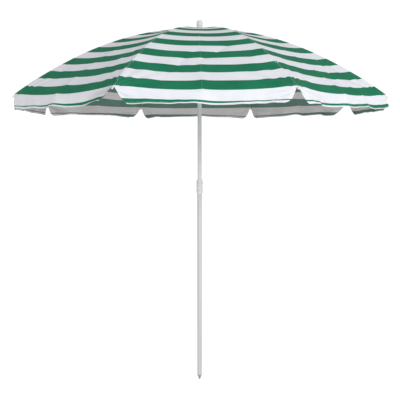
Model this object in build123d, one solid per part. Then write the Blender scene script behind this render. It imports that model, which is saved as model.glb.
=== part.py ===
from build123d import *

import math
import os

# A two-part pole carries an eight-ribbed folding canopy. The origin is at the
# pole's pointed foot, +Z is up the pole, and one canopy panel faces -Y.
# Lengths are in millimetres, angles in degrees.

# ---- driving dimensions -------------------------------------------------

RIB_COUNT = 8
HALF_PANEL = 180 / RIB_COUNT  # angle from a rib to the middle of its panel
RIB_ANGLES = [2 * HALF_PANEL * i - 90 - HALF_PANEL for i in range(RIB_COUNT)]

LOWER_POLE_R = 11.0
UPPER_POLE_R = 9.5
TUBE_WALL = 1.0
LOWER_BORE_R = LOWER_POLE_R - TUBE_WALL
UPPER_BORE_R = UPPER_POLE_R - TUBE_WALL
SPIKE_HEIGHT = 24.0
COLLAR_LOW = 874.0
COLLAR_HIGH = 938.0
COLLAR_R = 13.7
STOP_DIMPLE_Z = 785.0

TIP_RADIUS = 820.0  # from the pole's axis to the rim of the cloth at a rib
TIP_Z = 1306.0
HUB_PIN_R = 26.0  # from the pole's axis to each rib's hinge
# slope of the canopy along a rib, falling outwards, at these radii
SLOPES = [1.5, 14.8, 27.0, 37.0]
SLOPE_RADII = [HUB_PIN_R, 0.33 * TIP_RADIUS, 0.66 * TIP_RADIUS, TIP_RADIUS]
FINIAL_TOP = 1660.0

CLOTH_DROP = 2.0  # the cloth's thickness, measured straight down
CROWN_R = 31.8
PANEL_START_R = 35.0
PANEL_GAP = 0.6  # between neighbouring panel pieces
RIM_SAG = 17.0  # how far the rim hangs down in the middle of a panel
SAG_POWER = 0.8  # how the sag fades from the rim to the crown
FLAP_SLOPE = 73.0
FLAP_LENGTH = 52.0
NOTCH_HALF_WIDTH = 28.0
NOTCH_RISE = 10.0  # the notch starts this far above the rim
NOTCH_DROP = 58.0

RIB_R = 2.0
RIB_DEPTH = 5.2  # from the cloth's outer face to the rib's centre
RIB_PAST_RIM = 8.0  # how far the rod goes into its tip
RIB_TIP_R = 3.2
RIB_TIP_LENGTH = 15.0
CLIP_RADIUS = 292.0  # where the stretcher joins the rib
CLIP_DROP = 7.0  # from the rib's centre to the stretcher's pin
PIN_R = 1.0
PIN_PLAY = 0.05
HUB_PIN_LENGTH = 10.4
STRETCHER_R = 1.75
EYE_R = 3.2
EYE_THICKNESS = 2.6

FOLD_ANGLE = 66.0
RUNNER_PIVOT_R = 20.0
RUNNER_DROP = 253.0  # from the hub's hinges down to the runner's, when open
RUNNER_PLAY = 0.4
SLOT_WIDTH = 4.4


# ---- the canopy's curve -------------------------------------------------

def normal(slope):
    """The outward direction, as (radius, height), where the canopy has this slope."""
    return math.sin(math.radians(slope)), math.cos(math.radians(slope))


def canopy_arcs():
    """The tangent arcs of the canopy along a rib: (centre r, centre z, radius)."""
    radii, drops = [], []
    for a, b, near, far in zip(SLOPES, SLOPES[1:], SLOPE_RADII, SLOPE_RADII[1:]):
        radius = (far - near) / (normal(b)[0] - normal(a)[0])
        radii.append(radius)
        drops.append(radius * (normal(a)[1] - normal(b)[1]))
    z = TIP_Z + sum(drops)
    arcs = []
    for radius, drop, slope, r in zip(radii, drops, SLOPES, SLOPE_RADII):
        across, up = normal(slope)
        arcs.append((r - radius * across, z - radius * up, radius))
        z -= drop
    return arcs


ARCS = canopy_arcs()


def canopy_point(slope, depth=0.0):
    """(radius, height) of the canopy along a rib where it has this slope, this deep below its face."""
    arc = max(i for i in range(len(ARCS)) if slope >= SLOPES[i] or i == 0)
    centre_r, centre_z, radius = ARCS[arc]
    across, up = normal(slope)
    return centre_r + (radius - depth) * across, centre_z + (radius - depth) * up


def slope_at(r):
    """The canopy's slope at this radius along a rib."""
    arc = max(i for i in range(len(ARCS)) if r >= SLOPE_RADII[i] or i == 0)
    centre_r, _, radius = ARCS[arc]
    return math.degrees(math.asin((r - centre_r) / radius))


def turned(point, about, angle):
    """A (radius, height) point turned about another one, from radius towards height."""
    c, s = math.cos(math.radians(angle)), math.sin(math.radians(angle))
    r, z = point[0] - about[0], point[1] - about[1]
    return about[0] + r * c - z * s, about[1] + r * s + z * c


CANOPY_TOP = canopy_point(SLOPES[0])[1]
HUB_PIVOT = canopy_point(SLOPES[0], RIB_DEPTH)
CLIP_SLOPE = slope_at(CLIP_RADIUS)
CLIP_CENTRE = canopy_point(CLIP_SLOPE, RIB_DEPTH)
CLIP_PIVOT = canopy_point(CLIP_SLOPE, RIB_DEPTH + CLIP_DROP)
RUNNER_PIVOT = (RUNNER_PIVOT_R, HUB_PIVOT[1] - RUNNER_DROP)

# ---- the fold, worked out at both ends of the runner's travel ------------

STRETCHER_LENGTH = math.dist(CLIP_PIVOT, RUNNER_PIVOT)
FOLDED_CLIP = turned(CLIP_PIVOT, HUB_PIVOT, -FOLD_ANGLE)
FOLDED_REACH = FOLDED_CLIP[0] - RUNNER_PIVOT_R
FOLDED_RUNNER_Z = FOLDED_CLIP[1] - math.sqrt(STRETCHER_LENGTH**2 - FOLDED_REACH**2)
RUNNER_TRAVEL = RUNNER_PIVOT[1] - FOLDED_RUNNER_Z


def bearing(a, b):
    """The direction from a to b in degrees, from radius towards height."""
    return math.degrees(math.atan2(b[1] - a[1], b[0] - a[0]))


OPEN_BEARING = bearing(CLIP_PIVOT, RUNNER_PIVOT)
FOLDED_BEARING = bearing(FOLDED_CLIP, (RUNNER_PIVOT_R, FOLDED_RUNNER_Z))
STRETCHER_TURN = FOLDED_BEARING - OPEN_BEARING + FOLD_ANGLE


# ---- small makers -------------------------------------------------------

def disc(radius, low, high):
    """A round bar on the pole's axis, between two heights."""
    return Pos(0, 0, (low + high) / 2) * Cylinder(radius, high - low)


def tube(outer, inner, low, high):
    return disc(outer, low, high) - disc(inner, low, high)


def cross_bar(point, radius, length):
    """A round bar across the rib's plane, through a (radius, height) point."""
    return Pos(point[0], 0, point[1]) * Rot(90, 0, 0) * Cylinder(radius, length)


def around(piece, angle):
    return Rot(0, 0, angle) * piece


def lathed(outline):
    """A solid turned about the pole's axis from an outline of (radius, height) points."""
    face = make_face(Polyline([(r, 0, z) for r, z in outline], close=True))
    return revolve(face, Axis.Z)


# ---- lower pole ---------------------------------------------------------

COLLET_SEAT_R = LOWER_POLE_R - 0.4
COLLET_SEAT_LOW = COLLAR_LOW - 2
LOWER_POLE_TOP = 915.0
DIMPLE_DEPTH = 2.2
DIMPLE_BALL_R = 9.0


def make_lower_pole():
    """A steel tube with a dimple pressed into its side, which stops the upper pole."""
    outside = disc(LOWER_POLE_R, SPIKE_HEIGHT, COLLET_SEAT_LOW)
    seat = disc(COLLET_SEAT_R, COLLET_SEAT_LOW, LOWER_POLE_TOP)
    pole = outside + seat - disc(LOWER_BORE_R, SPIKE_HEIGHT, LOWER_POLE_TOP)
    ball_at = Pos(LOWER_POLE_R + DIMPLE_BALL_R - DIMPLE_DEPTH, 0, STOP_DIMPLE_Z)
    bulge = ball_at * Sphere(DIMPLE_BALL_R + TUBE_WALL)
    inside = disc(
        LOWER_BORE_R + TUBE_WALL / 2,
        STOP_DIMPLE_Z - 2 * DIMPLE_BALL_R,
        STOP_DIMPLE_Z + 2 * DIMPLE_BALL_R,
    )
    return pole + (bulge & inside) - ball_at * Sphere(DIMPLE_BALL_R)


def make_ground_spike():
    """A moulded point with a plug that is driven into the lower pole."""
    tip_r, plug_top = 2.2, SPIKE_HEIGHT + 36
    outline = [
        (0, 0),
        (tip_r, 0),
        (LOWER_POLE_R - 0.4, SPIKE_HEIGHT - 2),
        (LOWER_POLE_R - 0.4, SPIKE_HEIGHT),
        (LOWER_BORE_R, SPIKE_HEIGHT),
        (LOWER_BORE_R, plug_top - 3),
        (LOWER_BORE_R - 2, plug_top),
        (0, plug_top),
    ]
    return lathed(outline)


COLLET_R = 12.2
FINGER_LOW = LOWER_POLE_TOP
FINGER_TOP = 931.0


def make_collet():
    """A split sleeve on the lower pole's end. Its fingers close on the upper pole."""
    outline = [
        (COLLET_SEAT_R, COLLAR_LOW + 2),
        (COLLET_R, COLLAR_LOW + 2),
        (COLLET_R, FINGER_LOW + 2),
        (COLLET_R - 1.2, FINGER_TOP),
        (UPPER_POLE_R + 0.15, FINGER_TOP),
        (UPPER_POLE_R + 0.15, FINGER_LOW),
        (COLLET_SEAT_R, FINGER_LOW),
    ]
    slit_low = FINGER_LOW + 1
    slit = Pos(0, 0, (slit_low + FINGER_TOP) / 2) * Box(
        3 * COLLET_R, 1.6, FINGER_TOP - slit_low
    )
    return lathed(outline) - slit - around(slit, 90)


def make_lock_collar():
    """The nut that turns on the collet and closes its fingers."""
    bore = COLLET_R + 0.15
    outline = [
        (bore, COLLAR_LOW),
        (COLLAR_R - 0.7, COLLAR_LOW),
        (COLLAR_R, COLLAR_LOW + 3),
        (COLLAR_R, COLLAR_HIGH - 1.2),
        (COLLAR_R - 1, COLLAR_HIGH),
        (UPPER_POLE_R + 0.3, COLLAR_HIGH),
        (UPPER_POLE_R + 0.3, FINGER_TOP + 0.5),
        (bore - 1.2, FINGER_TOP + 0.5),
        (bore, FINGER_LOW + 2),
    ]
    return lathed(outline)


# ---- upper pole ---------------------------------------------------------

UPPER_POLE_LOW = 791.8
CROWN_UNDERSIDE = CANOPY_TOP - CLOTH_DROP
RUNNER_LOW = RUNNER_PIVOT[1] - 46
CATCH_TOP = RUNNER_LOW - 0.4
CATCH_HEIGHT = 22.0
CATCH_WIDTH = 3.0
CATCH_STAND = 3.5  # how far the catch stands out of the pole
CATCH_TRAVEL = 3.6


def make_upper_pole():
    """The thinner tube, with a slot for the runner's catch."""
    pole = tube(UPPER_POLE_R, UPPER_BORE_R, UPPER_POLE_LOW, CROWN_UNDERSIDE)
    slot = Pos(UPPER_BORE_R, 0, CATCH_TOP - CATCH_HEIGHT / 2) * Box(
        6, CATCH_WIDTH + 0.6, CATCH_HEIGHT + 1.2
    )
    return pole - slot


def make_pole_end_plug():
    """A moulded plug in the upper pole's lower end, which rides in the lower pole's bore."""
    flange = disc(UPPER_POLE_R - 1.9, UPPER_POLE_LOW - 0.6, UPPER_POLE_LOW)
    return flange + tube(UPPER_BORE_R, 5.0, UPPER_POLE_LOW, UPPER_POLE_LOW + 22)


def make_runner_catch():
    """A leaf wedge with a flat top that holds the runner up, and a ramp that it rides over."""
    back = 4.5
    outline = [
        (back, CATCH_TOP),
        (UPPER_POLE_R + CATCH_STAND, CATCH_TOP),
        (UPPER_POLE_R + CATCH_STAND, CATCH_TOP - 5),
        (UPPER_POLE_R - 0.5, CATCH_TOP - CATCH_HEIGHT),
        (back, CATCH_TOP - CATCH_HEIGHT),
    ]
    face = make_face(Polyline([(r, 0, z) for r, z in outline], close=True))
    return extrude(face, CATCH_WIDTH / 2, both=True)


HUB_R = 31.0
HUB_BOSS_R = 14.5
HUB_BOSS_LENGTH = 14.0
HUB_HIGH = CROWN_UNDERSIDE
HUB_LOW = HUB_PIVOT[1] - 12


def make_top_hub():
    """The notched ring at the pole's top. Each notch takes the end of one rib."""
    hub = disc(HUB_R, HUB_LOW, HUB_HIGH)
    hub += disc(HUB_BOSS_R, HUB_LOW - HUB_BOSS_LENGTH, HUB_LOW)
    hub -= disc(UPPER_POLE_R, HUB_LOW - HUB_BOSS_LENGTH, HUB_HIGH)
    notch_in = HUB_PIN_R - EYE_R - 1.6
    notch = Pos((notch_in + HUB_R + 2) / 2, 0, (HUB_LOW + HUB_HIGH) / 2) * Box(
        HUB_R + 2 - notch_in, SLOT_WIDTH, HUB_HIGH - HUB_LOW
    )
    pin_hole = cross_bar(HUB_PIVOT, PIN_R, HUB_PIN_LENGTH)
    for angle in RIB_ANGLES:
        hub -= around(notch, angle)
        hub -= around(pin_hole, angle)
    return hub


def make_hub_pins():
    pin = cross_bar(HUB_PIVOT, PIN_R, HUB_PIN_LENGTH)
    return Compound([around(pin, angle) for angle in RIB_ANGLES])


def make_crown_disc():
    """The disc of cloth over the hub, clamped under the finial."""
    return tube(CROWN_R, UPPER_BORE_R + 0.1, CROWN_UNDERSIDE, CANOPY_TOP)


FINIAL_SHOULDER = CANOPY_TOP + 9.0
FINIAL_R = 13.5
FINIAL_FLARE_R = 20.5
SPIGOT_LENGTH = 26.0


def make_finial_base():
    """The flared washer that clamps the cloth, with a spigot down the pole's bore."""
    outline = [
        (0, CANOPY_TOP - SPIGOT_LENGTH),
        (UPPER_BORE_R, CANOPY_TOP - SPIGOT_LENGTH),
        (UPPER_BORE_R, CANOPY_TOP),
        (FINIAL_FLARE_R, CANOPY_TOP),
        (FINIAL_FLARE_R, CANOPY_TOP + 1.6),
        (16.0, CANOPY_TOP + 4.5),
        (FINIAL_R + 0.4, FINIAL_SHOULDER),
        (0, FINIAL_SHOULDER),
    ]
    return lathed(outline)


def make_finial_cap():
    """The domed knob on the washer."""
    height = FINIAL_TOP - FINIAL_SHOULDER
    cap = Pos(0, 0, FINIAL_SHOULDER + height / 2) * Cylinder(FINIAL_R, height)
    cap = fillet(cap.edges().sort_by(Axis.Z)[-1], 9.0)
    waist = Pos(0, 0, FINIAL_SHOULDER + 6) * Torus(FINIAL_R + 3, 4.2)
    return cap - waist


# ---- runner -------------------------------------------------------------

RUNNER_BORE_R = UPPER_POLE_R + RUNNER_PLAY
RUNNER_FLANGE_R = 24.0
RUNNER_HIGH = RUNNER_PIVOT[1] + 8


def make_runner():
    """The slider with eight slots. They are open outwards and downwards."""
    z = RUNNER_PIVOT[1]
    outline = [
        (RUNNER_BORE_R, RUNNER_LOW),
        (15.5, RUNNER_LOW),
        (17.0, RUNNER_LOW + 2),
        (17.0, RUNNER_LOW + 5),
        (14.0, RUNNER_LOW + 9),
        (14.0, z - 12),
        (RUNNER_FLANGE_R, z - 6),
        (RUNNER_FLANGE_R, z + 5),
        (RUNNER_FLANGE_R - 3, RUNNER_HIGH),
        (RUNNER_BORE_R, RUNNER_HIGH),
    ]
    runner = lathed(outline)
    slot_in = RUNNER_PIVOT_R - EYE_R - 1.0
    slot = Pos((slot_in + RUNNER_FLANGE_R + 2) / 2, 0, z) * Box(
        RUNNER_FLANGE_R + 2 - slot_in, SLOT_WIDTH, 60
    )
    for angle in RIB_ANGLES:
        runner -= around(slot, angle)
    return runner


# ---- ribs and stretchers ------------------------------------------------

RIB_EYE_THICKNESS = 3.6


def end_direction(slope):
    return math.cos(math.radians(slope)), -math.sin(math.radians(slope))


def make_rib():
    """A sprung steel rod along the canopy's curve, with an eye at the hub."""
    edges = []
    for a, b in zip(SLOPES, SLOPES[1:]):
        ends = [canopy_point(s, RIB_DEPTH) for s in (a, (a + b) / 2, b)]
        edges.append(ThreePointArc(*[(r, 0, z) for r, z in ends]))
    across, down = end_direction(SLOPES[-1])
    last_r, last_z = canopy_point(SLOPES[-1], RIB_DEPTH)
    end = (last_r + RIB_PAST_RIM * across, 0, last_z + RIB_PAST_RIM * down)
    edges.append(Line((last_r, 0, last_z), end))
    path = Wire(edges)
    start = (HUB_PIVOT[0], 0, HUB_PIVOT[1])
    section = Plane(origin=start, z_dir=path % 0) * Circle(RIB_R)
    rod = sweep(section, path=path)
    rod -= cross_bar(HUB_PIVOT, EYE_R - 0.5, 4 * RIB_R)
    eye = cross_bar(HUB_PIVOT, EYE_R, RIB_EYE_THICKNESS)
    return rod + eye - cross_bar(HUB_PIVOT, PIN_R + PIN_PLAY, 4 * RIB_R)


def along_rib(slope, step, depth):
    """A (radius, height) point a step further out along the tangent at this slope."""
    r, z = canopy_point(slope, depth)
    across, down = end_direction(slope)
    return r + step * across, z + step * down


def bar_between(a, b, radius):
    """A round bar between two (radius, height) points in the rib's plane."""
    length = math.dist(a, b)
    way = ((b[0] - a[0]) / length, 0, (b[1] - a[1]) / length)
    return extrude(Plane(origin=(a[0], 0, a[1]), z_dir=way) * Circle(radius), length)


def make_rib_tip():
    """A moulded cap pushed onto the rib's end, past the rim of the cloth."""
    slope, past_rim = SLOPES[-1], 1.0
    start = along_rib(slope, past_rim, RIB_DEPTH)
    end = along_rib(slope, past_rim + RIB_TIP_LENGTH, RIB_DEPTH)
    cap = bar_between(start, end, RIB_TIP_R)
    cap = fillet(cap.edges().sort_by(Axis.X)[-1], RIB_TIP_R - 0.4)
    rod_end = along_rib(slope, RIB_PAST_RIM, RIB_DEPTH)
    return cap - bar_between(along_rib(slope, -1, RIB_DEPTH), rod_end, RIB_R)


def make_rib_clip():
    """A folded steel clip on the rib, with two ears and the stretcher's pin."""
    ear, inside, length = 0.9, 2 * STRETCHER_R + 0.4, 12.0
    width = max(2 * RIB_R + 2 * ear, inside + 2 * ear)
    tilt = Pos(CLIP_CENTRE[0], 0, CLIP_CENTRE[1]) * Rot(0, CLIP_SLOPE, 0)
    top = RIB_R + ear / 2
    low = CLIP_DROP + 3
    block = tilt * Pos(0, 0, (top - low) / 2) * Box(length, width, top + low)
    gap = tilt * Pos(0, 0, -RIB_R - (low - RIB_R) / 2 - ear / 2) * Box(
        2 * length, inside, low - RIB_R - ear
    )
    rod_hole = rib_length_through_clip()
    pin = cross_bar(CLIP_PIVOT, PIN_R, width)
    return Compound([block - gap - rod_hole - pin, pin])


def rib_length_through_clip():
    """The stretch of rib that passes through the clip."""
    spread = 2.0
    slopes = (CLIP_SLOPE - spread, CLIP_SLOPE, CLIP_SLOPE + spread)
    points = [canopy_point(s, RIB_DEPTH) for s in slopes]
    arc = ThreePointArc(*[(r, 0, z) for r, z in points])
    section = Plane(origin=arc @ 0, z_dir=arc % 0) * Circle(RIB_R)
    return sweep(section, path=Wire([arc]))


def make_stretcher():
    """A straight rod with a flat eye at each end."""
    rod = bar_between(CLIP_PIVOT, RUNNER_PIVOT, STRETCHER_R)
    for pivot in (CLIP_PIVOT, RUNNER_PIVOT):
        rod -= cross_bar(pivot, EYE_R - 0.4, 4 * STRETCHER_R)
        rod += cross_bar(pivot, EYE_R, EYE_THICKNESS)
    for pivot in (CLIP_PIVOT, RUNNER_PIVOT):
        rod -= cross_bar(pivot, PIN_R + PIN_PLAY, 4 * STRETCHER_R)
    return rod


# ---- canopy -------------------------------------------------------------

def canopy_section(angle, narrow, sag):
    """The cloth cut by an upright plane through the pole, at this angle from the rib.

    narrow scales the rib's curve in radius, and sag is how far the rim hangs below it.
    """
    first = slope_at(PANEL_START_R)
    steps = 8
    top, under = [], []
    for i in range(steps + 1):
        share = i / steps
        r, z = canopy_point(first + (SLOPES[-1] - first) * share)
        z -= sag * share**SAG_POWER
        top.append((r * narrow, 0, z))
        under.append((r * narrow, 0, z - CLOTH_DROP))
    across, down = end_direction(FLAP_SLOPE)
    hem = (top[-1][0] + FLAP_LENGTH * across, 0, top[-1][2] + FLAP_LENGTH * down)
    hem_under = (hem[0] - CLOTH_DROP / 2, 0, hem[2] - CLOTH_DROP / 2)
    edges = [
        Spline(top),
        Line(top[-1], hem),
        Line(hem, hem_under),
        Line(hem_under, under[-1]),
        Spline(under[::-1]),
        Line(under[0], top[0]),
    ]
    return around(make_face(Wire(edges)), angle)


def make_canopy_panel():
    """The cloth held by one rib: half of the panel on each side of it, with its flap."""
    at_rib = canopy_section(0, 1, 0)
    middle = canopy_section(HALF_PANEL, math.cos(math.radians(HALF_PANEL)), RIM_SAG)
    turn = math.radians(HALF_PANEL)
    back_off = PANEL_GAP / 2
    middle = Pos(back_off * math.sin(turn), -back_off * math.cos(turn), 0) * middle
    half = loft([at_rib, middle], ruled=True)
    panel = half + half.mirror(Plane.XZ)
    notch_from, notch_length = TIP_RADIUS - 60, 120
    corners = [(0, NOTCH_RISE), (-NOTCH_HALF_WIDTH, -NOTCH_DROP), (NOTCH_HALF_WIDTH, -NOTCH_DROP)]
    outline = Polyline([(notch_from, y, TIP_Z + rise) for y, rise in corners], close=True)
    return panel - extrude(make_face(outline), notch_length, dir=(1, 0, 0))


# ---- write the parts ----------------------------------------------------

def write(name, piece):
    if not isinstance(piece, Compound) and len(piece.solids()) == 1:
        piece = piece.solids()[0]
    piece.label = name
    export_step(piece, f"parts/{name}.step")


os.makedirs("parts", exist_ok=True)

write("lower_pole", make_lower_pole())
write("ground_spike", make_ground_spike())
write("collet", make_collet())
write("lock_collar", make_lock_collar())
write("upper_pole", make_upper_pole())
write("pole_end_plug", make_pole_end_plug())
write("runner_catch", make_runner_catch())
write("top_hub", make_top_hub())
write("hub_pins", make_hub_pins())
write("crown_disc", make_crown_disc())
write("finial_base", make_finial_base())
write("finial_cap", make_finial_cap())
write("runner", make_runner())

rib, rib_clip, rib_tip = make_rib(), make_rib_clip(), make_rib_tip()
stretcher, canopy_panel = make_stretcher(), make_canopy_panel()
for number, angle in enumerate(RIB_ANGLES, start=1):
    write(f"rib_{number}", around(rib, angle))
    write(f"rib_clip_{number}", around(rib_clip, angle))
    write(f"rib_tip_{number}", around(rib_tip, angle))
    write(f"stretcher_{number}", around(stretcher, angle))
    write(f"canopy_panel_{number}", around(canopy_panel, angle))

print(f"hub pivot r {HUB_PIVOT[0]:.4f} z {HUB_PIVOT[1]:.4f}")
print(f"clip pivot r {CLIP_PIVOT[0]:.4f} z {CLIP_PIVOT[1]:.4f}")
print(f"runner pivot r {RUNNER_PIVOT[0]:.4f} z {RUNNER_PIVOT[1]:.4f}")
print(f"stretcher length {STRETCHER_LENGTH:.4f}, turn {STRETCHER_TURN:.4f}")
print(f"runner travel {RUNNER_TRAVEL:.4f}, canopy top {CANOPY_TOP:.4f}")
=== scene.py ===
import math
import random

import bmesh
import bpy
import numpy as np
from mathutils import Matrix, Vector


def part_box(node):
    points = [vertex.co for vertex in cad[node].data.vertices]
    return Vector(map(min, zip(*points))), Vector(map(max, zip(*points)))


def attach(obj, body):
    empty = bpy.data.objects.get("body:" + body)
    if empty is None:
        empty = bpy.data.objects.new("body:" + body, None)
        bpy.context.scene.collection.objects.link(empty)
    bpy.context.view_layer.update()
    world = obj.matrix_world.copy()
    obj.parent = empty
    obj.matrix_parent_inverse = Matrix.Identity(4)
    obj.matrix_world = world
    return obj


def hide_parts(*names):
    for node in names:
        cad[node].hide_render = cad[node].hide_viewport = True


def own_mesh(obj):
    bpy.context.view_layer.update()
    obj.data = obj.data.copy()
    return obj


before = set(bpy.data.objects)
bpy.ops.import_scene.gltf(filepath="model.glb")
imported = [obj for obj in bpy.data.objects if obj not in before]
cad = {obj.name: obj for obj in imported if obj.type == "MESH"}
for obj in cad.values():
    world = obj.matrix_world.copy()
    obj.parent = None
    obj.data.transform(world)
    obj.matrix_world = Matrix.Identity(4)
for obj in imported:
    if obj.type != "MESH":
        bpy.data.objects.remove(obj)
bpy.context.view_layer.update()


# ---- the two steel tubes of the pole -------------------------------------
# The lower tube is 22 mm and the upper one 19 mm, rolled and welded steel with a light grey
# powder coat. The upper tube slides inside the lower one. Both have one and the same coat,
# but the upper tube's colour is painted lighter, as painted light against the canopy's shade.

def linear(hexed):
    """An sRGB hex colour as linear red, green, blue and alpha."""
    parts = [int(hexed[i : i + 2], 16) / 255 for i in (1, 3, 5)]
    return [c / 12.92 if c <= 0.04045 else ((c + 0.055) / 1.055) ** 2.4 for c in parts] + [1.0]


def add(tree, kind, inputs=None, **settings):
    """Adds a node. An input is a value, or the socket that it is linked to."""
    made = tree.nodes.new(kind)
    for key, value in settings.items():
        setattr(made, key, value)
    for key, value in (inputs or {}).items():
        if isinstance(value, bpy.types.NodeSocket):
            tree.links.new(value, made.inputs[key])
        else:
            made.inputs[key].default_value = value
    return made


def start_material(name):
    """A new material's node tree, and the Object coordinates in it."""
    material = bpy.data.materials.new(name)
    material.use_nodes = True
    tree = material.node_tree
    tree.nodes.clear()
    return material, tree, add(tree, "ShaderNodeTexCoord").outputs["Object"]


def end_material(tree, inputs):
    """The surface shader with these inputs, and the output that it goes to."""
    shader = add(tree, "ShaderNodeBsdfPrincipled", inputs)
    add(tree, "ShaderNodeOutputMaterial", {"Surface": shader.outputs["BSDF"]})


def dress(material, *names):
    """Gives CAD nodes a material."""
    for name in names:
        cad[name].data.materials.clear()
        cad[name].data.materials.append(material)


# Powder coat is baked paint about 0.08 mm thick. It is even and softly glossy, with
# an orange peel of about 3 mm, and rubs dull in upright streaks where a tube slides.
STREAK_SCALE, PEEL_SCALE = (260, 260, 3), 330.0  # lumps to the metre


def powder_coat(name, clean, rubbed, streak_share):
    material, tree, place = start_material(name)
    streaks = add(tree, "ShaderNodeMapping", {"Vector": place, "Scale": STREAK_SCALE})
    rub = add(tree, "ShaderNodeTexNoise", {
        "Vector": streaks.outputs[0], "Scale": 1.0, "Detail": 3.0})
    ramp = add(tree, "ShaderNodeMapRange", {
        "Value": rub.outputs["Fac"], "From Min": 0.52, "From Max": 0.72, "To Max": streak_share})
    colour = add(tree, "ShaderNodeMix", {
        0: ramp.outputs[0], 6: linear(clean), 7: linear(rubbed)}, data_type="RGBA")
    gloss = add(tree, "ShaderNodeMapRange", {
        "Value": rub.outputs["Fac"], "From Min": 0.35, "From Max": 0.7,
        "To Min": 0.3, "To Max": 0.46})
    peel = add(tree, "ShaderNodeTexNoise", {
        "Vector": place, "Scale": PEEL_SCALE, "Detail": 1.0})
    bump = add(tree, "ShaderNodeBump", {
        "Height": peel.outputs["Fac"], "Strength": 0.12, "Distance": 0.0003})
    end_material(tree, {
        "Base Color": colour.outputs[2], "Roughness": gloss.outputs[0],
        "Normal": bump.outputs[0], "IOR": 1.5})
    return material


# The two tubes are lit and shaded copies of one paint: the upper tube's colours are painted
# lighter, to stand in for light where the canopy shades it.
dress(powder_coat("powder coated steel, lower tube", "#DEDFE1", "#BDBFC1", 0.5), "lower_pole")
dress(powder_coat("powder coated steel, upper tube", "#F4F5F6", "#D5D7D8", 0.6), "upper_pole")


# ---- ground spike, and the plug in the upper tube --------------------------
# Both are injection moulded. The spike's polypropylene is a duller grey, and sand has
# scratched it and left its colour in the scratches. The plug is clean.

SCUFF_SCALE = 90.0  # scuffs about 11 mm across


# A moulding has an even colour with a fine spark-eroded grain, from the mould's wall.
def moulded(name, clean, soiled, soil_share, roughness, grain_mm=0.6):
    material, tree, place = start_material(name)
    scuff = add(tree, "ShaderNodeTexNoise", {
        "Vector": place, "Scale": SCUFF_SCALE, "Detail": 6.0, "Roughness": 0.7})
    soil = add(tree, "ShaderNodeMapRange", {
        "Value": scuff.outputs["Fac"], "From Min": 0.5, "From Max": 0.68, "To Max": soil_share})
    colour = add(tree, "ShaderNodeMix", {
        0: soil.outputs[0], 6: linear(clean), 7: linear(soiled)}, data_type="RGBA")
    rough = add(tree, "ShaderNodeMapRange", {
        "Value": scuff.outputs["Fac"], "From Min": 0.3, "From Max": 0.7,
        "To Min": roughness - 0.06, "To Max": roughness + 0.1})
    grain = add(tree, "ShaderNodeTexNoise", {
        "Vector": place, "Scale": 1000 / grain_mm, "Detail": 2.0})
    bump = add(tree, "ShaderNodeBump", {
        "Height": grain.outputs["Fac"], "Strength": 0.15, "Distance": 0.0001})
    end_material(tree, {
        "Base Color": colour.outputs[2], "Roughness": rough.outputs[0],
        "Normal": bump.outputs[0], "IOR": 1.49})
    return material


dress(moulded("scuffed polypropylene", "#AEB0B2", "#8C8577", 0.8, 0.55), "ground_spike")
white_moulding = moulded("white moulded polypropylene", "#E9EAEC", "#CFCCC6", 0.35, 0.36)
dress(white_moulding, "pole_end_plug")


# ---- twist lock -------------------------------------------------------------
# The collar is a grey ABS nut on a white split collet. It is gripped and turned by
# hand, so low ridges run up its side, moulded in one with it.

collar_abs = moulded("grey moulded ABS", "#F2F3F4", "#D5D7D8", 0.4, 0.42, grain_mm=1.0)
dress(collar_abs, "lock_collar")
dress(white_moulding, "collet")

RIDGES = 28
RIDGE_R, RIDGE_HEIGHT, RIDGE_WIDTH = 0.01365, 0.046, 0.0011
RIDGE_DROP = 0.001  # from the collar's middle down to the ridges' middle


def grip_tree():
    """A Geometry Nodes tree that sets upright ridges round a circle."""
    tree = bpy.data.node_groups.new("Grip ridges", "GeometryNodeTree")
    for name, kind in (("Ridges", "NodeSocketInt"), ("Radius", "NodeSocketFloat"),
                       ("Height", "NodeSocketFloat"), ("Width", "NodeSocketFloat"),
                       ("Middle", "NodeSocketVector"), ("Material", "NodeSocketMaterial")):
        tree.interface.new_socket(name, in_out="INPUT", socket_type=kind)
    tree.interface.new_socket("Geometry", in_out="OUTPUT", socket_type="NodeSocketGeometry")
    given = add(tree, "NodeGroupInput").outputs
    ring = add(tree, "GeometryNodeCurvePrimitiveCircle", {
        "Resolution": given["Ridges"], "Radius": given["Radius"]})
    bar = add(tree, "GeometryNodeMeshCylinder", {
        "Vertices": 8, "Radius": given["Width"], "Depth": given["Height"], "Side Segments": 1})
    bar_ends = add(tree, "GeometryNodeMeshIcoSphere", {"Radius": given["Width"], "Subdivisions": 2})
    up = add(tree, "ShaderNodeCombineXYZ", {"Z": add(tree, "ShaderNodeMath", {
        0: given["Height"], 1: 0.5}, operation="MULTIPLY").outputs[0]})
    down = add(tree, "ShaderNodeVectorMath", {0: up.outputs[0], "Scale": -1.0}, operation="SCALE")
    ends = [add(tree, "GeometryNodeTransform", {
        "Geometry": bar_ends.outputs[0], "Translation": at.outputs[0]}) for at in (up, down)]
    ridge = add(tree, "GeometryNodeJoinGeometry")
    for piece in [bar.outputs[0]] + [e.outputs[0] for e in ends]:
        tree.links.new(piece, ridge.inputs[0])
    placed = add(tree, "GeometryNodeInstanceOnPoints", {
        "Points": add(tree, "GeometryNodeCurveToPoints", {
            "Curve": ring.outputs[0]}, mode="EVALUATED").outputs[0],
        "Instance": ridge.outputs[0]})
    moved = add(tree, "GeometryNodeTransform", {
        "Geometry": placed.outputs[0], "Translation": given["Middle"]})
    real = add(tree, "GeometryNodeRealizeInstances", {"Geometry": moved.outputs[0]})
    done = add(tree, "GeometryNodeSetMaterial", {
        "Geometry": real.outputs[0], "Material": given["Material"]})
    add(tree, "NodeGroupOutput", {"Geometry": done.outputs[0]})
    return tree


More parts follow.
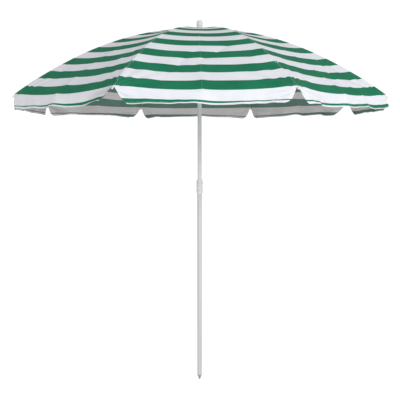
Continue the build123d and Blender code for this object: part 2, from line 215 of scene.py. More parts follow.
def grown(name, tree, inputs, start=None):
    """A plain mesh object, made by a Geometry Nodes tree from these inputs."""
    host = bpy.data.objects.new(name + ".host", start or bpy.data.meshes.new(name + ".host"))
    bpy.context.scene.collection.objects.link(host)
    modifier = host.modifiers.new("Nodes", "NODES")
    modifier.node_group = tree
    for item in tree.interface.items_tree:
        if item.in_out == "INPUT" and item.name in inputs:
            modifier[item.identifier] = inputs[item.name]
    bpy.context.view_layer.update()
    seen = host.evaluated_get(bpy.context.evaluated_depsgraph_get())
    mesh = bpy.data.meshes.new_from_object(seen)
    bpy.data.objects.remove(host)
    piece = bpy.data.objects.new(name, mesh)
    mesh.name = name
    bpy.context.scene.collection.objects.link(piece)
    return piece


collar_low, collar_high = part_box("lock_collar")
grip = grown("collar_grip", grip_tree(), {
    "Ridges": RIDGES, "Radius": RIDGE_R, "Height": RIDGE_HEIGHT, "Width": RIDGE_WIDTH / 2,
    "Middle": (0.0, 0.0, (collar_low.z + collar_high.z) / 2 - RIDGE_DROP),
    "Material": collar_abs})
for polygon in grip.data.polygons:
    polygon.use_smooth = True
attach(grip, "lock_collar")


# ---- runner, catch, hub and finial ------------------------------------------
# White polypropylene mouldings, which weather a little yellow in their hollows. The
# catch is a bare spring steel leaf, and the hinge pins are cut from zinc plated wire.

# Zinc plate is bright with a cloudy bloom. Drawn wire and rolled strip are finely lined.
def plated_steel(name, bright, dull, roughness):
    material, tree, place = start_material(name)
    bloom = add(tree, "ShaderNodeTexNoise", {"Vector": place, "Scale": 60.0, "Detail": 5.0})
    colour = add(tree, "ShaderNodeMix", {
        0: bloom.outputs["Fac"], 6: linear(bright), 7: linear(dull)}, data_type="RGBA")
    rough = add(tree, "ShaderNodeMapRange", {
        "Value": bloom.outputs["Fac"], "From Min": 0.3, "From Max": 0.7,
        "To Min": roughness - 0.08, "To Max": roughness + 0.12})
    drawn = add(tree, "ShaderNodeTexNoise", {"Vector": place, "Scale": 900.0, "Detail": 1.0})
    bump = add(tree, "ShaderNodeBump", {
        "Height": drawn.outputs["Fac"], "Strength": 0.1, "Distance": 0.0001})
    end_material(tree, {
        "Base Color": colour.outputs[2], "Roughness": rough.outputs[0],
        "Normal": bump.outputs[0], "Metallic": 1.0})
    return material


zinc = plated_steel("zinc plated steel", "#C9CCCF", "#A9ACB0", 0.34)
dress(white_moulding, "runner", "top_hub", "finial_base", "finial_cap")
dress(plated_steel("bare spring steel", "#A8A9AD", "#85868A", 0.3), "runner_catch")
dress(zinc, "hub_pins")


# ---- ribs, stretchers, clips and rib tips -----------------------------------
# The ribs and stretchers are zinc plated steel rod with flattened eyes. Folded clips
# hold the stretchers' pins, and white moulded tips cover the ribs' ends.

RIB_COUNT = 8
for i in range(1, RIB_COUNT + 1):
    dress(zinc, f"rib_{i}", f"rib_clip_{i}", f"stretcher_{i}")
    dress(white_moulding, f"rib_tip_{i}")


# ---- canopy -------------------------------------------------------------------
# Eight gores of plain woven polyester, printed in bands and sewn together over the ribs.
# Each rib's piece is half a gore on both sides of it, and the pieces meet without a gap
# in the middle of the gores. A flap hangs from the rim, cut away at each rib.

HALF_GORE = math.radians(180 / RIB_COUNT)
RIB_BEARINGS = [2 * HALF_GORE * i - math.pi / 2 - HALF_GORE for i in range(RIB_COUNT)]
TIP_RADIUS, TIP_Z, HINGE_R = 0.820, 1.306, 0.026
RIB_SLOPES = [math.radians(s) for s in (1.5, 14.8, 27.0, 37.0)]
SLOPE_RADII = [HINGE_R, 0.33 * TIP_RADIUS, 0.66 * TIP_RADIUS, TIP_RADIUS]
PANEL_START_R, RIM_SAG, SAG_POWER = 0.0345, 0.017, 0.8
SAG_SHAPE = 2.2  # how the sag and the flap's length change across a gore
ROD_DEPTH = 0.0052  # from the cloth's face down to the middle of a rib's rod
FLAP_LENGTH, MIDDLE_FLAP = 0.051, 0.050
CORNER_EXTRA = 0.014  # the flap's hem is cut straight, so it is longer at the ribs
CORNER_START, FULL_CORNER = 0.6, 0.999  # shares of the flap where its corners turn
BAND = 0.0555
CLOTH, HEM_CLOTH, HEM_DEPTH = 0.0005, 0.0013, 0.008
ROWS, FLAP_ROWS, HALF_COLUMNS = 132, 16, 46
FLAP_SPACING = 0.85  # below 1, the flap's rows are closer at the hem
CROWDING = 0.86  # towards 1, the columns are closer at the ribs


def rib_line():
    """The canopy along a rib: functions of radius that give its height and slope."""
    arcs, z = [], TIP_Z
    spans = list(zip(RIB_SLOPES, RIB_SLOPES[1:], SLOPE_RADII, SLOPE_RADII[1:]))
    for a, b, near, far in reversed(spans):
        bend = (far - near) / (math.sin(b) - math.sin(a))
        arcs.insert(0, (near, far - bend * math.sin(b), z - bend * math.cos(b), bend))
        z += bend * (math.cos(a) - math.cos(b))
    near, centre_r, centre_z, bend = (np.array(v) for v in zip(*arcs))

    def pick(r):
        return np.clip(np.searchsorted(near, r, side="right") - 1, 0, len(near) - 1)

    def height(r):
        k = pick(r)
        return centre_z[k] + np.sqrt(bend[k] ** 2 - (r - centre_r[k]) ** 2)

    def slope(r):
        k = pick(r)
        return np.arcsin((r - centre_r[k]) / bend[k])

    return height, slope


height_at, slope_at = rib_line()
first_slope = slope_at(np.array(PANEL_START_R))


def sag_at(r):
    share = (slope_at(r) - first_slope) / (RIB_SLOPES[-1] - first_slope)
    return RIM_SAG * np.clip(share, 0, 1) ** SAG_POWER


# rows are spaced evenly along the middle of a gore, where the bands are measured
fine_r = np.linspace(PANEL_START_R, TIP_RADIUS, 2000)
middle_r, middle_z = fine_r * math.cos(HALF_GORE), height_at(fine_r) - sag_at(fine_r)
run = np.concatenate([[0], np.cumsum(np.hypot(np.diff(middle_r), np.diff(middle_z)))])
GORE_LENGTH = float(run[-1])
row_r = np.interp(np.linspace(0, GORE_LENGTH, ROWS), run, fine_r)
row_v = np.linspace(GORE_LENGTH, 0, ROWS)
flap_share = np.linspace(0, 1, FLAP_ROWS + 1)[1:] ** FLAP_SPACING
columns = np.sin(np.linspace(-1, 1, 2 * HALF_COLUMNS + 1) * math.pi / 2 * CROWDING)
columns = columns / math.sin(math.pi / 2 * CROWDING)

# each gore's slack, as a share of the full sag, and its flap: how far the left and right
# corners are cut back or folded under for each metre down, how round the two corners are,
# and how far each has blown inwards, in radians
FLAPS = {
    1: (1.0, 0.45, 1.90, 0.014, 0.016, 0.0, 1.4), 2: (1.0, 0.60, 0.40, 0.010, 0.024, 0.0, 0.0),
    3: (1.0, 0.62, 0.40, 0.008, 0.016, 0.0, -0.25), 4: (0.8, 0.42, 1.30, 0.018, 0.020, 0.2, 0.0),
    5: (0.4, 1.30, 0.44, 0.026, 0.020, 0.0, 0.3), 6: (0.3, 0.44, 0.38, 0.018, 0.020, 0.1, 0.0),
    7: (0.3, 0.40, 0.46, 0.024, 0.014, 0.0, 0.2), 8: (0.7, 0.46, 0.42, 0.012, 0.020, 0.3, 0.0),
}
FLAP_LEAN, FLAP_WAVE = 0.27, 0.34  # how far a flap leans out, in radians, and waves
RIPPLE_COUNT, RIPPLE_TURNS = 4, (1.5, 4.5)  # random waves in a flap, and half turns across
STILL_MIDDLE = 0.1  # the share of a flap that isn't blown in

# the heights, widths and reaches of the creases in a gore
WAVE_COUNT, WAVE_HEIGHT, WAVE_TURNS = 7, 0.0075, 9
SEAM_POWER, CROWN_POWER = 4, 1.2  # how the creases die out at the seams and the crown
FAN_HEIGHT, FAN_START, FAN_REACH, FAN_END = 0.0032, 0.03, 0.13, -0.03
FAN_BELOW = 0.01  # the fan spreads from a point this far below the rim
PUCKER_HEIGHT, PUCKER_LENGTH, PUCKER_START, PUCKER_REACH = 0.0007, 0.0035, 0.003, 0.010
PUCKER_DRIFT = 31  # how fast the puckers' spacing changes along a seam
FOLD_AT, FOLD_REACH = -0.012, 0.24  # the packing fold, beside the middle of each gore
FOLD_CREST, FOLD_CREST_WIDTH, FOLD_BACK, FOLD_BACK_WIDTH = 0.0030, 0.012, 0.0055, 0.060
PULL_COUNT, PULL_HEIGHT, PULL_WIDTH, PULL_LENGTH = 3, 0.0038, 0.015, 0.13
HEM_WAVE_HEIGHT, HEM_WAVE_WIDTH = 0.0012, 0.010


def waves(rng, count, low, high):
    """Random gentle waves: (turns across, turns along, phase, size)."""
    return [(rng.uniform(low, high), rng.uniform(low, high) * rng.choice((-1, 1)),
             rng.uniform(0, 2 * math.pi), rng.uniform(0.4, 1)) for _ in range(count)]


def make_gore(number):
    """Points, outward normals and lengths (u, v) of the gore on the left of rib `number`."""
    rng = random.Random(40 + number)
    left, right = RIB_BEARINGS[(number - 2) % RIB_COUNT], RIB_BEARINGS[number - 1]
    a = np.array([math.cos(left), math.sin(left)])
    b = np.array([math.cos(right), math.sin(right)])
    middle = (a + b) / np.linalg.norm(a + b)
    across = (b - a) / np.linalg.norm(b - a)
    r = np.concatenate([row_r, np.full(FLAP_ROWS, TIP_RADIUS)])[:, None]
    hang = np.concatenate([np.zeros(ROWS), flap_share])[:, None]
    v = np.concatenate([row_v, -FLAP_LENGTH * flap_share])[:, None]
    s = columns[None, :]
    half_width = r * math.sin(HALF_GORE)
    slack, cut_left, cut_right, round_left, round_right, in_left, in_right = FLAPS[number]
    drop = hang * (MIDDLE_FLAP + CORNER_EXTRA * np.abs(s) ** SAG_SHAPE)
    corner = np.clip((hang - CORNER_START) / (1 - CORNER_START), 0, 1)
    rounding = np.where(s < 0, round_left, round_right)
    rounding = rounding * (1 - np.sqrt(1 - np.minimum(corner, FULL_CORNER) ** 2))
    cut = np.where(s < 0, cut_left, cut_right) * drop + rounding
    x = s * half_width - np.sign(s) * cut * np.abs(s) ** 2
    out = r * math.cos(HALF_GORE) + 0 * s
    z = height_at(r) - slack * sag_at(r) * (1 - np.abs(s) ** SAG_SHAPE)
    # the flap hangs out from the rim, more at its free corners, and waves along its hem
    ripple = sum(w * np.sin(t * s * math.pi + p)
                 for t, _, p, w in waves(rng, RIPPLE_COUNT, *RIPPLE_TURNS)) / 3
    corner_share = np.clip((np.abs(s) - STILL_MIDDLE) / (1 - STILL_MIDDLE), 0, 1)
    blown = np.where(s < 0, in_left, in_right) * corner_share
    lean = FLAP_LEAN + FLAP_WAVE * ripple * hang - blown
    out = out + drop * np.sin(lean)
    z = z - drop * np.cos(lean)
    points = np.stack([
        middle[0] * out + across[0] * x, middle[1] * out + across[1] * x, z + 0 * x], axis=2)

    def facing(points):
        down, over = np.gradient(points, axis=0), np.gradient(points, axis=1)
        n = np.cross(down, over)
        return n / np.linalg.norm(n, axis=2, keepdims=True)

    # creases: gentle waves that die at the seams and the crown, a fan of pulls from each rib
    # tip, puckers beside the seams, a fold from being packed, and a few pulls across
    inside = 1 - np.abs(s) ** SEAM_POWER
    open_cloth = np.clip(r / TIP_RADIUS, 0, 1) ** CROWN_POWER
    soft = sum(w * np.sin(t * x * WAVE_TURNS + c * v * WAVE_TURNS + p)
               for t, c, p, w in waves(rng, WAVE_COUNT, 0.4, 1.6)) / WAVE_COUNT
    lift = WAVE_HEIGHT * soft * inside * open_cloth
    for side in (-1, 1):
        dx, dv = x - side * half_width, v + FAN_BELOW
        far = np.hypot(dx, dv)
        fan = np.sin(np.arctan2(dv, -side * dx) * rng.uniform(13, 17) + rng.uniform(0, 6))
        fan = FAN_HEIGHT * fan * np.exp(-far / FAN_REACH) * (1 - np.exp(-far / FAN_START))
        lift = lift + fan * (v > FAN_END)
        beside = np.abs(dx)
        pucker = PUCKER_HEIGHT * np.sin(v / PUCKER_LENGTH + 2 * np.sin(v * PUCKER_DRIFT))
        pucker = pucker * np.exp(-beside / PUCKER_REACH) * (1 - np.exp(-beside / PUCKER_START))
        lift = lift + pucker * (drop <= 0)
    packed = np.abs(x - FOLD_AT)
    ridge = FOLD_CREST * np.exp(-packed / FOLD_CREST_WIDTH)
    ridge = ridge + FOLD_BACK * np.exp(-packed / FOLD_BACK_WIDTH)
    lift = lift + ridge * inside * np.exp(-np.clip(v, 0, 1) / FOLD_REACH)
    for _ in range(PULL_COUNT):
        line = rng.uniform(-0.7, 0.7) * half_width + (v - 0.1) * rng.uniform(-0.8, 0.8)
        pull = PULL_HEIGHT * rng.choice((-1, 1)) * np.exp(-np.abs(x - line) / PULL_WIDTH)
        lift = lift + pull * inside * np.exp(-((v - rng.uniform(0.0, 0.4)) / PULL_LENGTH) ** 2)
    lift = lift + HEM_WAVE_HEIGHT * np.sin(x / HEM_WAVE_WIDTH + 5 * s) * hang
    points = points + facing(points) * lift[:, :, None]
    length = np.broadcast_to(v, x.shape)
    return points, facing(points), np.stack([x, length], axis=2)


gores = {number: make_gore(number) for number in range(1, RIB_COUNT + 1)}


def cloth_piece(number):
    """The closed two-layer mesh of one rib's cloth, with its (u, v) in metres."""
    after = gores[number % RIB_COUNT + 1]
    before = gores[number]
    halves = [[part[:, HALF_COLUMNS:] for part in before],
              [part[:, : HALF_COLUMNS + 1] for part in after]]
    # both halves share one normal along the rib, so that the seam shades smoothly
    seam = halves[0][1][:ROWS, -1] + halves[1][1][:ROWS, 0]
    seam /= np.linalg.norm(seam, axis=1, keepdims=True)
    for half, column in zip(halves, (-1, 0)):
        half[1] = half[1].copy()
        half[1][:ROWS, column] = seam
    rows, cols = halves[0][0].shape[:2]
    depth = np.full(rows, CLOTH)
    depth[ROWS + np.flatnonzero((1 - flap_share) * FLAP_LENGTH < HEM_DEPTH)] = HEM_CLOTH
    outer = np.concatenate([h[0].reshape(-1, 3) for h in halves])
    facing = np.concatenate([h[1].reshape(-1, 3) for h in halves])
    uv = np.concatenate([h[2].reshape(-1, 2) for h in halves])
    inner = outer - facing * np.tile(np.repeat(depth, cols), 2)[:, None]
    count = rows * cols
    ids = [np.arange(count).reshape(rows, cols), count + np.arange(count).reshape(rows, cols)]
    ids[1][:ROWS, 0] = ids[0][:ROWS, -1]
    faces = []

    def strip(one, two):
        """Quads between two lines of vertices."""
        return np.stack([one[:-1], one[1:], two[1:], two[:-1]], axis=1)

    total = 2 * count
    for grid in ids:
        top = np.stack([grid[:-1, :-1], grid[1:, :-1], grid[1:, 1:], grid[:-1, 1:]], axis=2)
        top = top.reshape(-1, 4)
        faces += [top, top[:, ::-1] + total]
    edges = [ids[0][:, 0], ids[0][-1, :], ids[0][ROWS - 1 :, -1][::-1], ids[1][ROWS - 1 :, 0],
             ids[1][-1, :], ids[1][:, -1][::-1], ids[1][0, :][::-1], ids[0][0, :][::-1]]
    faces += [strip(line, line + total)[:, ::-1] for line in edges]
    faces = np.concatenate(faces)
    mesh = bpy.data.meshes.new(f"canopy_cloth_{number}")
    points = np.concatenate([outer, inner])
    wrong_side = (faces >= total).all(axis=1)
    used, faces = np.unique(faces, return_inverse=True)
    faces = faces.reshape(-1, 4)
    mesh.from_pydata(points[used].tolist(), [], faces.tolist())
    layer = mesh.uv_layers.new(name="Cloth")
    both = np.concatenate([uv, uv])[used]
    layer.data.foreach_set("uv", both[faces.reshape(-1)].astype(np.float32).ravel())
    mesh.polygons.foreach_set("use_smooth", [True] * len(mesh.polygons))
    for material in cloth_materials:
        mesh.materials.append(material)
    mesh.polygons.foreach_set("material_index", wrong_side.astype(int).tolist())
    mesh.normals_split_custom_set_from_vertices(np.concatenate([facing, -facing])[used].tolist())
    piece = bpy.data.objects.new(mesh.name, mesh)
    bpy.context.scene.collection.objects.link(piece)
    return piece


HEM_LINE_AT, HEM_LINE_HALF, HEM_LINE_ROLL = -0.0418, 0.0041, 0.0024
ROLL_TURNS = 2 * math.pi / 0.99  # the hem's roll comes round once in 0.99 m
ROLL_START = 0.25 * ROLL_TURNS


# Every other band above the rim is green, and so is a line near the hem. The hem is rolled
# by hand, so that more of the line shows in some places than in others.
def band_factor(tree, along, place):
    """A socket that is 1 where the cloth is green."""
    turn = add(tree, "ShaderNodeMath", {0: along, 1: 2 * BAND}, operation="WRAP")
    turn.inputs[2].default_value = 0.0
    band = add(tree, "ShaderNodeMath", {0: turn.outputs[0], 1: BAND}, operation="LESS_THAN")
    above = add(tree, "ShaderNodeMath", {0: along, 1: 0.0}, operation="GREATER_THAN")
    upper = add(tree, "ShaderNodeMath", {
        0: band.outputs[0], 1: above.outputs[0]}, operation="MULTIPLY")
    side = add(tree, "ShaderNodeSeparateXYZ", {0: place})
    roll = add(tree, "ShaderNodeMath", {0: side.outputs["X"], 1: ROLL_TURNS, 2: ROLL_START},
               operation="MULTIPLY_ADD")
    roll = add(tree, "ShaderNodeMath", {0: roll.outputs[0]}, operation="COSINE")
    half_line = add(tree, "ShaderNodeMath", {
        0: roll.outputs[0], 1: HEM_LINE_ROLL, 2: HEM_LINE_HALF}, operation="MULTIPLY_ADD")
    line = add(tree, "ShaderNodeMath", {
        0: along, 1: HEM_LINE_AT, 2: half_line.outputs[0]}, operation="COMPARE")
    green = add(tree, "ShaderNodeMath", {
        0: upper.outputs[0], 1: line.outputs[0]}, operation="MAXIMUM")
    return green.outputs[0]


# Plain woven polyester of about 190 threads to the inch, printed green on white. Its
# threads are 0.13 mm, too fine to show, so the weave is drawn at 1.1 mm, and thicker
# threads show as faint lines along it. The wrong side is duller, as the ink is on the face.
# A pale line is painted along the packing fold. It is partly ink rubbed pale there, and partly
# a painted highlight on the fold's crest.
WEAVE_PITCH, BLEED = 0.0011, 0.0008
BLEED_SCALE, SLUB_SCALE, PATCH_SCALE = 380.0, (14, 420, 1), 9.0  # lumps to the metre
RUB_AND_HIGHLIGHT_NEAR, RUB_AND_HIGHLIGHT_FAR, RUB_AND_HIGHLIGHT_SHARE, RUB_AND_HIGHLIGHT_COLOUR = 0.0008, 0.0030, 0.04, "#E9EEF0"


def woven_polyester(name, inks, whites, roughness):
    material, tree, place = start_material(name)
    cloth = add(tree, "ShaderNodeUVMap", uv_map="Cloth").outputs[0]
    split = add(tree, "ShaderNodeSeparateXYZ", {0: cloth})
    bleed = add(tree, "ShaderNodeTexNoise", {"Vector": cloth, "Scale": BLEED_SCALE, "Detail": 1.0})
    bleed = add(tree, "ShaderNodeMath", {0: bleed.outputs["Fac"], 1: 0.5}, operation="SUBTRACT")
    edge = add(tree, "ShaderNodeMath", {
        0: bleed.outputs[0], 1: BLEED, 2: split.outputs["Y"]}, operation="MULTIPLY_ADD")
    green = band_factor(tree, edge.outputs[0], place)
    slubs = add(tree, "ShaderNodeMapping", {"Vector": cloth, "Scale": SLUB_SCALE})
    slub = add(tree, "ShaderNodeTexNoise", {
        "Vector": slubs.outputs[0], "Scale": 1.0, "Detail": 2.0})
    patch = add(tree, "ShaderNodeTexNoise", {"Vector": cloth, "Scale": PATCH_SCALE, "Detail": 3.0})
    tone = add(tree, "ShaderNodeMath", {
        0: slub.outputs["Fac"], 1: patch.outputs["Fac"]}, operation="ADD")
    tone = add(tree, "ShaderNodeMapRange", {
        "Value": tone.outputs[0], "From Min": 0.75, "From Max": 1.25})
    inks, whites = [
        add(tree, "ShaderNodeMix", {
            0: tone.outputs[0], 6: linear(dark), 7: linear(light)}, data_type="RGBA")
        for dark, light in (inks, whites)]
    printed = add(tree, "ShaderNodeMix", {
        0: green, 6: whites.outputs[2], 7: inks.outputs[2]}, data_type="RGBA")
    from_fold = add(tree, "ShaderNodeMath", {
        0: split.outputs["X"], 1: FOLD_AT}, operation="SUBTRACT")
    from_fold = add(tree, "ShaderNodeMath", {0: from_fold.outputs[0]}, operation="ABSOLUTE")
    # painted highlight along the fold's crest, which is also ink rubbed pale there
    rubbed = add(tree, "ShaderNodeMapRange", {
        "Value": from_fold.outputs[0], "From Min": RUB_AND_HIGHLIGHT_NEAR, "From Max": RUB_AND_HIGHLIGHT_FAR,
        "To Min": RUB_AND_HIGHLIGHT_SHARE, "To Max": 0.0})
    colour = add(tree, "ShaderNodeMix", {
        0: rubbed.outputs[0], 6: printed.outputs[2], 7: linear(RUB_AND_HIGHLIGHT_COLOUR)}, data_type="RGBA")
    threads = [add(tree, "ShaderNodeMath", {
        0: split.outputs[way], 1: 2 * math.pi / WEAVE_PITCH}, operation="MULTIPLY") for way in "XY"]
    warp, weft = [
        add(tree, "ShaderNodeMath", {0: way.outputs[0]}, operation="SINE") for way in threads]
    weave = add(tree, "ShaderNodeMath", {
        0: warp.outputs[0], 1: weft.outputs[0]}, operation="MULTIPLY")
    height = add(tree, "ShaderNodeMath", {
        0: slub.outputs["Fac"], 1: 1.5, 2: weave.outputs[0]}, operation="MULTIPLY_ADD")
    bump = add(tree, "ShaderNodeBump", {
        "Height": height.outputs[0], "Strength": 0.18, "Distance": 0.0003})
    end_material(tree, {
        "Base Color": colour.outputs[2], "Roughness": roughness, "Normal": bump.outputs[0],
        "IOR": 1.5, "Specular IOR Level": 0.22})
    return material


cloth_materials = [
    woven_polyester("woven polyester, printed face",
                    ("#107050", "#1A7F5B"), ("#E6E8EF", "#EFF1F7"), 0.75),
    woven_polyester("woven polyester, wrong side",
                    ("#658579", "#719386"), ("#E3E0E0", "#EDEAEA"), 0.8),
]
hinge_z = float(height_at(np.array(HINGE_R))) - ROD_DEPTH
for number in range(1, RIB_COUNT + 1):
    turn = RIB_BEARINGS[number - 1]
    cloth = cloth_piece(number)
    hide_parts(f"canopy_panel_{number}")
    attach(cloth, f"rib_{number}")
    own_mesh(cloth)


# ---- crown cloth -----------------------------------------------------------------
# A round patch of the same cloth covers the start of the gores. The finial clamps it
# to the hub, so it stays flat on top while the gores fold down from under its edge.

CROWN_BORE, CROWN_EDGE, CROWN_RINGS, CROWN_SIDES = 0.0088, 0.044, 14, 96
FLARE_R, CROWN_STEP = 0.0212, 0.010  # the finial's edge, and the step down outside it
CROWN_PLAY, CROWN_LIFT = 0.00003, 0.0007  # under the finial, and over the gores
CROWN_BAND = 14.5  # the middle of a green band, which the patch is cut from
crown_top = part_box("crown_disc")[1].z
ring_r = np.linspace(CROWN_BORE, CROWN_EDGE, CROWN_RINGS)
over = np.clip((ring_r - FLARE_R) / CROWN_STEP, 0, 1)
over = over * over * (3 - 2 * over)
on_gores = height_at(np.maximum(ring_r, HINGE_R)) + CROWN_LIFT
ring_z = crown_top - CROWN_PLAY + over * (on_gores - crown_top)
turns = np.linspace(0, 2 * math.pi, CROWN_SIDES, endpoint=False)
top = [(r * math.cos(t), r * math.sin(t), z) for r, z in zip(ring_r, ring_z) for t in turns]
under = [(x, y, z - CLOTH) for x, y, z in top]
quads = []
for k in range(CROWN_RINGS - 1):
    for t in range(CROWN_SIDES):
        a, b = k * CROWN_SIDES + t, k * CROWN_SIDES + (t + 1) % CROWN_SIDES
        quads.append((a, a + CROWN_SIDES, b + CROWN_SIDES, b))
lower = [tuple(v + len(top) for v in quad[::-1]) for quad in quads]
last = (CROWN_RINGS - 1) * CROWN_SIDES
walls = []
for t in range(CROWN_SIDES):
    n = (t + 1) % CROWN_SIDES
    walls.append((last + t, last + t + len(top), last + n + len(top), last + n))
    walls.append((n, n + len(top), t + len(top), t))
mesh = bpy.data.meshes.new("crown_cloth")
mesh.from_pydata(top + under, [], quads + lower + walls)
for material in cloth_materials:
    mesh.materials.append(material)
wrong = [0] * len(quads) + [1] * len(lower) + [0] * len(walls)
mesh.polygons.foreach_set("material_index", wrong)
mesh.polygons.foreach_set("use_smooth", [True] * len(mesh.polygons))
layer = mesh.uv_layers.new(name="Cloth")
for loop in mesh.loops:
    x, y, _ = mesh.vertices[loop.vertex_index].co
    layer.data[loop.index].uv = (x, CROWN_BAND * BAND + y / 2)
crown = bpy.data.objects.new("crown_cloth", mesh)
bpy.context.scene.collection.objects.link(crown)
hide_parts("crown_disc")
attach(crown, "upper_mast")


# ---- sewing ------------------------------------------------------------------------
# Lockstitch in white polyester thread: two lines beside every rib, one under the rim
# and one along the hem. The thread is 0.25 mm, and is drawn at 0.5 mm so that it shows.

def sewing_tree():
    """A Geometry Nodes tree that lays stitches along the edges of a mesh."""
    tree = bpy.data.node_groups.new("Lockstitch", "GeometryNodeTree")
    for name, kind in (("Lines", "NodeSocketGeometry"), ("Pitch", "NodeSocketFloat"),
                       ("Stitch length", "NodeSocketFloat"), ("Thread radius", "NodeSocketFloat"),
                       ("Thread", "NodeSocketMaterial")):
        tree.interface.new_socket(name, in_out="INPUT", socket_type=kind)
    tree.interface.new_socket("Geometry", in_out="OUTPUT", socket_type="NodeSocketGeometry")
    given = add(tree, "NodeGroupInput").outputs
    line = add(tree, "GeometryNodeMeshToCurve", {"Mesh": given["Lines"]})
    dots = add(tree, "GeometryNodeResampleCurve", {"Curve": line.outputs[0]}, mode="LENGTH")
    tree.links.new(given["Pitch"], dots.inputs["Length"])
    facing = add(tree, "GeometryNodeInputNamedAttribute", {
        "Name": "facing"}, data_type="FLOAT_VECTOR")
    along = add(tree, "GeometryNodeInputTangent")
    lie = add(tree, "FunctionNodeAxesToRotation", {
        "Primary Axis": along.outputs[0], "Secondary Axis": facing.outputs[0]},
        primary_axis="Z", secondary_axis="X")
    thread = add(tree, "GeometryNodeMeshCylinder", {
        "Vertices": 5, "Side Segments": 1,
        "Radius": given["Thread radius"], "Depth": given["Stitch length"]})
    placed = add(tree, "GeometryNodeInstanceOnPoints", {
        "Points": dots.outputs[0], "Instance": thread.outputs[0], "Rotation": lie.outputs[0]})
    real = add(tree, "GeometryNodeRealizeInstances", {"Geometry": placed.outputs[0]})
    done = add(tree, "GeometryNodeSetMaterial", {
        "Geometry": real.outputs[0], "Material": given["Thread"]})
    add(tree, "NodeGroupOutput", {"Geometry": done.outputs[0]})
    return tree


# Polyester sewing thread is bright and a little shiny, with a fine twist.
def sewing_thread():
    material, tree, place = start_material("white polyester thread")
    twist = add(tree, "ShaderNodeTexNoise", {"Vector": place, "Scale": 700.0, "Detail": 1.0})
    colour = add(tree, "ShaderNodeMix", {
        0: twist.outputs["Fac"], 6: linear("#D3D8DA"), 7: linear("#F3F4F6")}, data_type="RGBA")
    end_material(tree, {"Base Color": colour.outputs[2], "Roughness": 0.5, "IOR": 1.5})
    return material


SEAM_GAP, STITCH_PITCH, STITCH_LENGTH, THREAD_R = 0.004, 0.0042, 0.0029, 0.00025
FIRST_ROW, RIM_ROW, HEM_ROW = 6, ROWS, ROWS + 13
EDGE_COLUMNS = 2  # left unsewn beside a rib, where the flap is cut
stitch_tree, thread = sewing_tree(), sewing_thread()


def beside_rib(points, r, side):
    """A line down a gore, SEAM_GAP from the rib on that side."""
    at = side * (1 - SEAM_GAP / (r * math.sin(HALF_GORE)))
    return np.array([[np.interp(a, columns, row[:, k]) for k in range(3)]
                     for a, row in zip(at, points)])


def seam_lines(number):
    """Where one rib's cloth is sewn, as (points, outward normals) lines on both faces."""
    lines = []
    rows = slice(FIRST_ROW, ROWS - 1)
    before, after = gores[number], gores[number % RIB_COUNT + 1]
    for gore, side, cols in ((before, 1, slice(HALF_COLUMNS, -EDGE_COLUMNS)),
                             (after, -1, slice(EDGE_COLUMNS, HALF_COLUMNS + 1))):
        points, facing, _ = gore
        lines.append((beside_rib(points[rows], row_r[rows], side),
                      beside_rib(facing[rows], row_r[rows], side)))
        lines += [(points[row, cols], facing[row, cols]) for row in (RIM_ROW, HEM_ROW)]
    for points, facing in lines:
        yield points + facing * 0.5 * THREAD_R, facing
        yield points - facing * (CLOTH + 0.5 * THREAD_R), facing


for number in range(1, RIB_COUNT + 1):
    corners, edges, normals = [], [], []
    for points, facing in seam_lines(number):
        edges += [(len(corners) + k, len(corners) + k + 1) for k in range(len(points) - 1)]
        corners += points.tolist()
        normals += facing.tolist()
    start = bpy.data.meshes.new("seams")
    start.from_pydata(corners, edges, [])
    start.attributes.new("facing", "FLOAT_VECTOR", "POINT").data.foreach_set(
        "vector", np.array(normals, np.float32).ravel())
    stitches = grown(f"canopy_stitches_{number}", stitch_tree, {
        "Pitch": STITCH_PITCH, "Stitch length": STITCH_LENGTH, "Thread radius": THREAD_R,
        "Thread": thread}, start)
    turn = RIB_BEARINGS[number - 1]
    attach(stitches, f"rib_{number}")
    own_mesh(stitches)


# ---- rib ties ------------------------------------------------------------------------
# Three narrow white tapes on each seam go round the rib and hold the cloth down on it.

TIE_RADII, TIE_WIDTH, TIE_THICK = (0.20, 0.46, 0.68), 0.009, 0.0006
TIE_STEPS, TIE_EDGE = (-0.5, -0.42, 0, 0.42, 0.5), 0.96  # along the rib, and at its edges
ROD_R, TIE_PLAY, WRAP_ANGLES = 0.002, 0.0003, (62, 298)
TIE_FEET = [(0.0062, 0.0009), (0.0034, 0.0013)]  # sewn to the cloth, beside the rib
tape = woven_polyester("woven polyester tape",
                       ("#E4E6EA", "#ECEEF1"), ("#E4E6EA", "#ECEEF1"), 0.8)


def tie_outline():
    """The tape's path across the rib, as (sideways, below the cloth's face) points."""
    around = ROD_R + TIE_PLAY
    first, last = (math.radians(angle) for angle in WRAP_ANGLES)
    low = [(math.sin(t) * around, ROD_DEPTH - math.cos(t) * around)
           for t in np.linspace(first, last, 15)]
    return TIE_FEET + low + [(-sideways, depth) for sideways, depth in TIE_FEET[::-1]]


def tie_rings(path):
    """The path given a thickness, as a closed outline."""
    path = np.array(path)
    way = np.gradient(path, axis=0)
    out = np.stack([way[:, 1], -way[:, 0]], axis=1) / np.linalg.norm(way, axis=1, keepdims=True)
    return np.concatenate([path, (path + out * TIE_THICK)[::-1]])


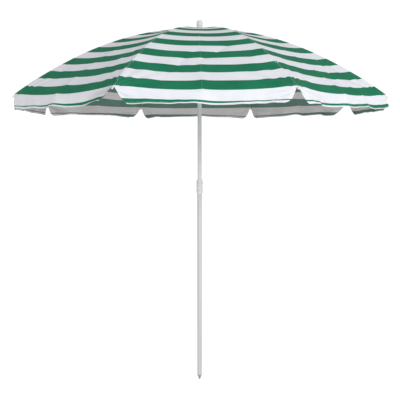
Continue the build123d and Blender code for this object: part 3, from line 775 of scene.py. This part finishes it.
for number in range(1, RIB_COUNT + 1):
    turn = RIB_BEARINGS[number - 1]
    mesh = bmesh.new()
    for r in TIE_RADII:
        slope, face_z = float(slope_at(np.array(r))), float(height_at(np.array(r)))
        down = Vector((math.cos(slope), 0, -math.sin(slope)))
        away = Vector((-math.sin(slope), 0, -math.cos(slope)))
        rings = []
        for step in TIE_STEPS:
            at = Vector((r, 0, face_z)) + down * (step * TIE_WIDTH)
            shrink = TIE_EDGE if abs(step) == 0.5 else 1.0
            rings.append([mesh.verts.new(at + Vector((0, y * shrink, 0)) + away * depth)
                          for y, depth in tie_rings(tie_outline())])
        for one, two in zip(rings, rings[1:]):
            for k in range(len(one)):
                n = (k + 1) % len(one)
                mesh.faces.new((one[k], one[n], two[n], two[k]))
        half = len(rings[0]) // 2
        for ring, flip in ((rings[0], True), (rings[-1], False)):
            for k in range(half - 1):
                quad = [ring[k], ring[k + 1], ring[-k - 2], ring[-k - 1]]
                mesh.faces.new(quad if not flip else quad[::-1])
    bmesh.ops.recalc_face_normals(mesh, faces=mesh.faces)
    mesh.transform(Matrix.Rotation(turn, 4, "Z"))
    data = bpy.data.meshes.new(f"rib_ties_{number}")
    mesh.to_mesh(data)
    mesh.free()
    layer = data.uv_layers.new(name="Cloth")
    for loop in data.loops:
        x, y, z = data.vertices[loop.vertex_index].co
        layer.data[loop.index].uv = (math.hypot(x, y), z)
    data.materials.append(tape)
    data.polygons.foreach_set("use_smooth", [True] * len(data.polygons))
    ties = bpy.data.objects.new(data.name, data)
    bpy.context.scene.collection.objects.link(ties)
    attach(ties, f"rib_{number}")


# ---- stage ---------------------------------------------------------------------
# A white floor and a round white wall, three soft boxes in front (one on each side and one
# low down) and an even white light from all round.

def stage_piece(name, corners, faces, material):
    """A piece of the room. It is seen, but the light on the umbrella comes from the lamps."""
    mesh = bpy.data.meshes.new(name)
    mesh.from_pydata(corners, [], [list(face) for face in faces])
    piece = bpy.data.objects.new(name, mesh)
    bpy.context.scene.collection.objects.link(piece)
    mesh.materials.append(material)
    piece.visible_diffuse = piece.visible_glossy = False
    piece.visible_shadow = piece.visible_transmission = False


# White backdrop paper is matt and lit from behind, so that it shows no shade.
def bright_paper(name, colour, glow):
    material, tree, _ = start_material(name)
    end_material(tree, {"Base Color": linear(colour), "Roughness": 0.9,
                        "Emission Color": (1, 1, 1, 1), "Emission Strength": glow})
    return material


ROOM, ROOM_SIDES = 14.0, 64
ring = [(ROOM * math.cos(a), ROOM * math.sin(a))
        for a in np.linspace(0, 2 * math.pi, ROOM_SIDES + 1)[:-1]]
stage_piece("floor", [(x, y, 0) for x, y in ring], [range(ROOM_SIDES)],
            bright_paper("white floor", "#F4F4F4", 0.62))
wall = [(x, y, z) for z in (0, ROOM) for x, y in ring]
sides = [(i, ROOM_SIDES + i, ROOM_SIDES + (i + 1) % ROOM_SIDES, (i + 1) % ROOM_SIDES)
         for i in range(ROOM_SIDES)]
ceiling = tuple(range(2 * ROOM_SIDES - 1, ROOM_SIDES - 1, -1))
stage_piece("wall", wall, sides + [ceiling], bright_paper("white wall", "#000000", 1.1))

world = bpy.data.worlds.new("room")
bpy.context.scene.world = world
world.use_nodes = True
world.node_tree.nodes["Background"].inputs["Color"].default_value = (1, 1, 1, 1)
world.node_tree.nodes["Background"].inputs["Strength"].default_value = 0.5


def soft_box(name, place, aim, size, watts):
    """A rectangular lamp at a place, turned to shine on the point that it is aimed at."""
    light = bpy.data.lights.new(name, "AREA")
    light.shape, light.size, light.size_y, light.energy = "RECTANGLE", size[0], size[1], watts
    lamp = bpy.data.objects.new(name, light)
    lamp.location = place
    lamp.rotation_euler = (Vector(aim) - Vector(place)).to_track_quat("-Z", "Y").to_euler()
    bpy.context.scene.collection.objects.link(lamp)


soft_box("front right", (3.2, -3.2, 2.7), (0, 0, 1.4), (1.8, 1.6), 82)
soft_box("front left", (-3.0, -3.4, 2.3), (0, 0, 1.4), (1.8, 1.6), 33)
soft_box("low front", (0.5, -4.0, 0.5), (0, 0, 1.2), (1.8, 1.2), 25)

# the camera stands 3 m in front, just above half the umbrella's height, and looks a little down
camera = bpy.data.cameras.new("camera")
camera.lens, camera.sensor_width = 58.73, 36
camera.shift_y = -0.04
eye = bpy.data.objects.new("camera", camera)
eye.location = (-0.0817, -2.9937, 1.1198)
eye.rotation_euler = (math.radians(86.14), 0, math.radians(-1.6))
bpy.context.scene.collection.objects.link(eye)
bpy.context.scene.camera = eye
bpy.context.scene.view_settings.view_transform = "Standard"
